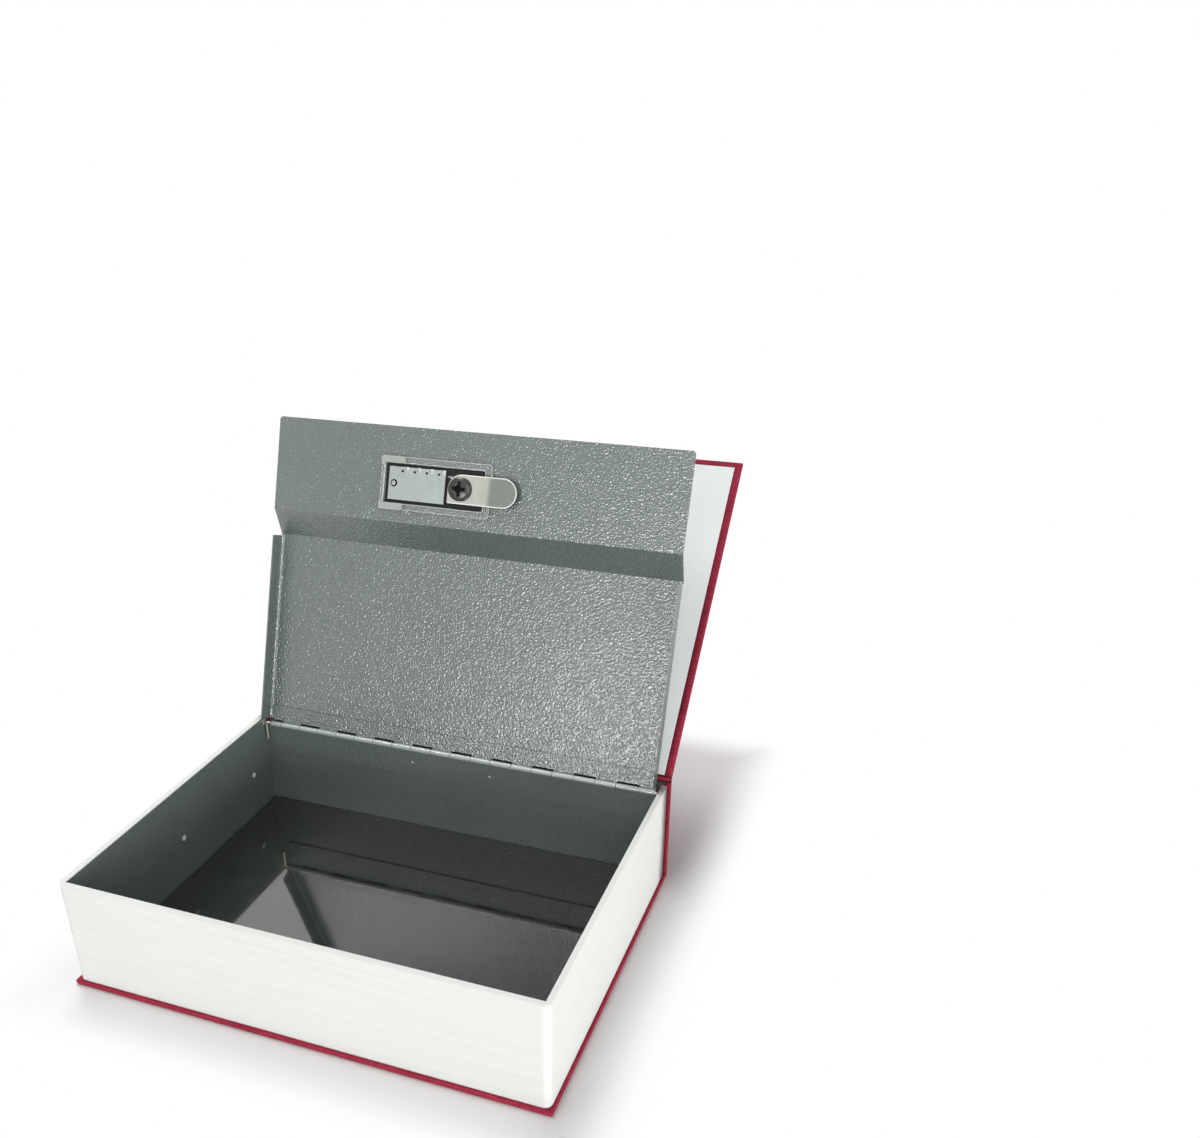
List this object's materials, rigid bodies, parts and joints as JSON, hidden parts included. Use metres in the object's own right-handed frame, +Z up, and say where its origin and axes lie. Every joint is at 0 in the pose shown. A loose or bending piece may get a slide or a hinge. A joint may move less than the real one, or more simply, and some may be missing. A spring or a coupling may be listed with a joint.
{
  "type": "book diversion safe",
  "caption": "Hardback book case hiding a hinged steel lock box with number dials, shown open, lid and cover back.",
  "frame": {"origin": "middle of the back cover's flat underside, which the book lies on", "axes": "+Z up out of the open box, +Y towards the spine and hinge, +X towards the book's head"},
  "size_m": [0.265, 0.3417, 0.2383],
  "materials": {
    "coat": "grey-green hammered powder coat, semi-gloss",
    "floor_gloss": "gloss black enamel",
    "pages": "white moulding with fine lines like page edges",
    "nylon": "white nylon",
    "wire": "bright zinc plated wire",
    "black_plastic": "black moulded plastic, fine grain",
    "dials": "black rings with white figures",
    "clear_plastic": "clear plastic",
    "zinc": "bright zinc plate",
    "dark_screw": "blackened steel",
    "cloth": "crimson book cloth, plain weave",
    "board": "greyboard of paper pulp",
    "paper": "white lining paper",
    "foil": "matt silver foil stamped in the cloth"
  },
  "bodies": {
    "box": {"box_tray": "coat", "floor_plate": "floor_gloss", "page_block_shell": "pages", "lid_rest_left": "coat", "lid_rest_right": "coat", "hinge_leaf_box": "coat", "hinge_pin": "wire", "back_spine_cloth": "cloth", "back_board": "board", "spine_board": "board", "back_endpaper": "paper", "page_rivet_left_1": "nylon", "page_rivet_left_2": "nylon", "page_rivet_left_3": "nylon", "page_rivet_right_1": "nylon", "page_rivet_right_2": "nylon", "page_rivet_right_3": "nylon", "page_rivet_front_1": "nylon", "page_rivet_front_2": "nylon", "page_rivet_front_3": "nylon"},
    "lid": {"lid_panel": "coat", "hinge_leaf_lid": "coat", "lock_housing": "black_plastic", "retaining_frame": "clear_plastic", "lock_back_plate": "zinc", "dial_axle": "zinc", "detent_spring": "zinc"},
    "latch": {"knob": "black_plastic", "slide_eccentric": "nylon", "cam_latch": "zinc", "latch_washer": "nylon", "latch_screw": "dark_screw"},
    "bar": {"slide_bar": "zinc"},
    "pin": {"reset_pin": "zinc"},
    "number_1": {"dial_1": "dials", "dial_cam_1": "zinc"},
    "number_2": {"dial_2": "dials", "dial_cam_2": "zinc"},
    "number_3": {"dial_3": "dials", "dial_cam_3": "zinc"},
    "number_4": {"dial_4": "dials", "dial_cam_4": "zinc"},
    "strip": {"cloth_joint": "cloth"},
    "cover": {"front_cloth": "cloth", "front_board": "board", "front_endpaper": "paper", "foil_frame_outer": "foil", "foil_frame_inner": "foil", "foil_ornament": "foil"}
  },
  "joints": [
    {"name": "lid_hinge", "type": "hinge", "parent": "box", "child": "lid", "pos_m": [0, 0.0918, 0.0597], "axis": [-1, 0, 0], "range_deg": [-109.5, 0]},
    {"name": "cloth_fold", "type": "hinge", "parent": "box", "child": "strip", "pos_m": [0, 0.0991, 0.0658], "axis": [-1, 0, 0], "range_deg": [-109.5, 0]},
    {"name": "cover_hinge", "type": "hinge", "parent": "strip", "child": "cover", "pos_m": [0, 0.0991, 0.0658], "axis": [-1, 0, 0], "range_deg": [-26, 63.5]},
    {"name": "latch_turn", "type": "hinge", "parent": "lid", "child": "latch", "pos_m": [-0.0048, 0.1358, 0.20791], "axis": [0, 0.9426, -0.3338], "range_deg": [-90, 0]},
    {"name": "bar_slide", "type": "slide", "parent": "lid", "child": "bar", "axis": [1, 0, 0], "range_m": [0, 0.0021]},
    {"name": "reset_press", "type": "slide", "parent": "lid", "child": "pin", "axis": [0, 0.9426, -0.3338], "range_m": [0, 0.0012], "stiffness_N_per_m": 300, "springref_m": -0.001},
    {"name": "dial_1_turn", "type": "hinge", "parent": "lid", "child": "number_1", "pos_m": [0, 0.13966, 0.20655], "axis": [1, 0, 0], "continuous": true},
    {"name": "dial_2_turn", "type": "hinge", "parent": "lid", "child": "number_2", "pos_m": [0, 0.13966, 0.20655], "axis": [1, 0, 0], "continuous": true},
    {"name": "dial_3_turn", "type": "hinge", "parent": "lid", "child": "number_3", "pos_m": [0, 0.13966, 0.20655], "axis": [1, 0, 0], "continuous": true},
    {"name": "dial_4_turn", "type": "hinge", "parent": "lid", "child": "number_4", "pos_m": [0, 0.13966, 0.20655], "axis": [1, 0, 0], "continuous": true}
  ],
  "couplings": [
    {"joint": "cloth_fold", "follows": "lid_hinge", "ratio": 1},
    {"joint": "bar_slide", "follows": "latch_turn", "m_per_rad": -0.001336}
  ]
}
